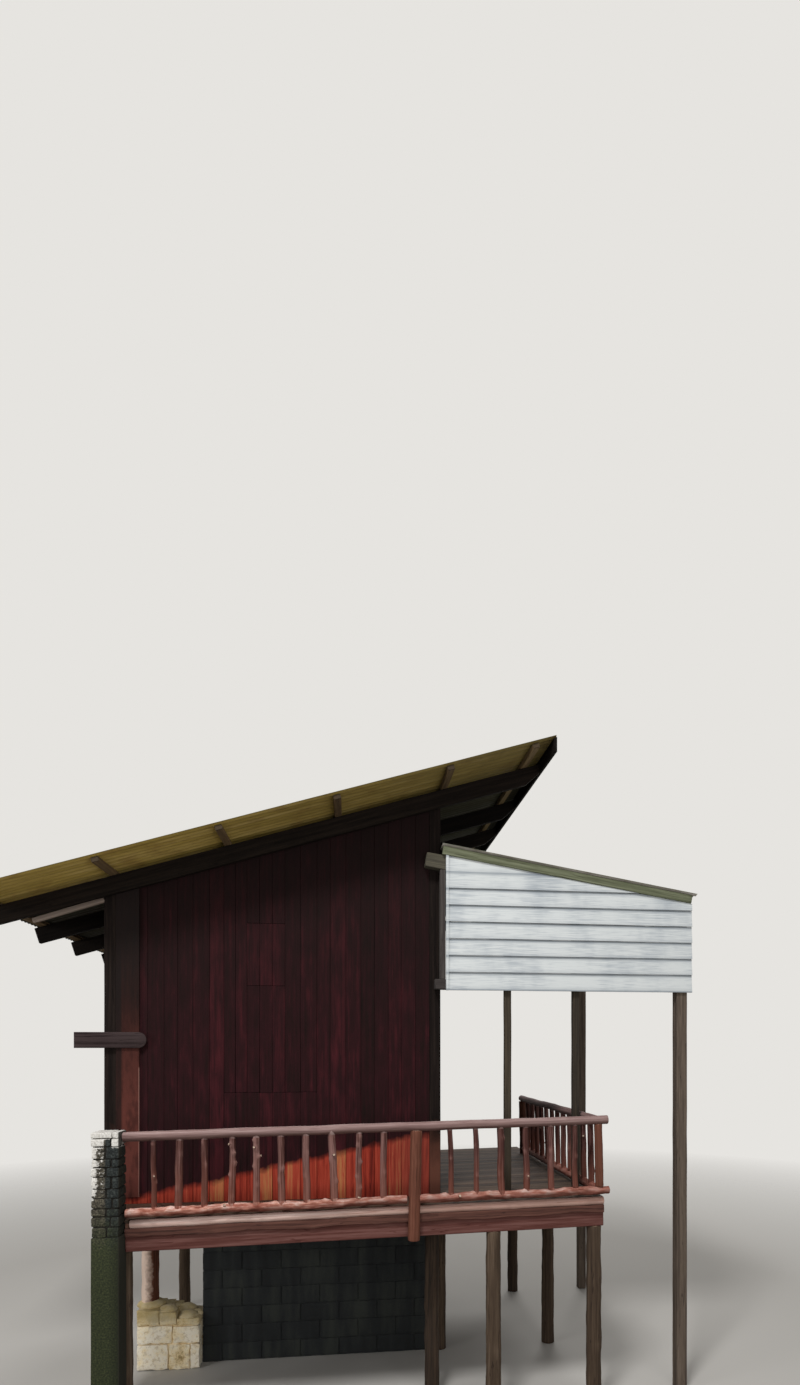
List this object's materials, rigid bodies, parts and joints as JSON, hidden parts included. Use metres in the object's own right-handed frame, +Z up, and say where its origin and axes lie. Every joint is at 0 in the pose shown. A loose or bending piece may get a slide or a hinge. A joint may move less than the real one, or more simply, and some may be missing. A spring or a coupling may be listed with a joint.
{
  "type": "stilt house",
  "caption": "Small board cabin on stilts under a single-pitch sheet roof, with a log-railed deck on two sides and a lean-to roof over the side porch",
  "frame": {"origin": "on the ground, below the middle of the whole outline", "axes": "+X to the right along the front, +Y from the front to the rear, +Z up"},
  "size_m": [6.23, 4.08, 5.8358],
  "materials": {
    "log_wood": "peeled logs with a worn reddish stain",
    "stilt_wood": "weathered logs and posts",
    "frame_wood": "rough-sawn timber, dark",
    "floor_boards": "worn boards",
    "red_boards": "boards in a faded dark red stain",
    "grey_wood": "bare timber gone grey",
    "white_boards": "white paint",
    "roof_sheet": "corrugated sheet, weathered",
    "masonry": "rough blocks in mortar",
    "column": "limewashed render"
  },
  "bodies": {
    "root": {"front_railing": "log_wood", "side_railing": "log_wood", "rail_posts": "log_wood", "deck_edge_log": "log_wood", "front_stilts": "stilt_wood", "porch_stilts": "stilt_wood", "cabin_stilts": "stilt_wood", "pier_post": "stilt_wood", "outer_posts": "stilt_wood", "cabin_sills": "frame_wood", "cabin_joists": "frame_wood", "deck_beams": "frame_wood", "deck_joists": "frame_wood", "joist_plank": "frame_wood", "corner_posts": "frame_wood", "door_frame": "frame_wood", "wall_plates": "frame_wood", "rafters": "frame_wood", "purlins": "frame_wood", "lean_rafters": "grey_wood", "lean_ledger": "grey_wood", "lean_eave_beam": "grey_wood", "lean_purlins": "grey_wood", "siding_foot_beam": "frame_wood", "porch_posts": "grey_wood", "eave_board": "frame_wood", "cabin_floor": "floor_boards", "walkway_floor": "floor_boards", "porch_floor": "floor_boards", "corner_board": "red_boards", "front_wall": "red_boards", "left_wall": "red_boards", "rear_wall": "red_boards", "porch_wall_front": "red_boards", "porch_wall_rear": "red_boards", "porch_wall_over_door": "red_boards", "lean_front_rafter": "grey_wood", "name_board": "grey_wood", "lean_siding": "white_boards", "roof_sheets": "roof_sheet", "lean_sheets": "roof_sheet", "lean_verge_board": "grey_wood", "masonry_pier": "masonry", "masonry_wall": "masonry", "front_left_column": "column"}
  },
  "joints": []
}
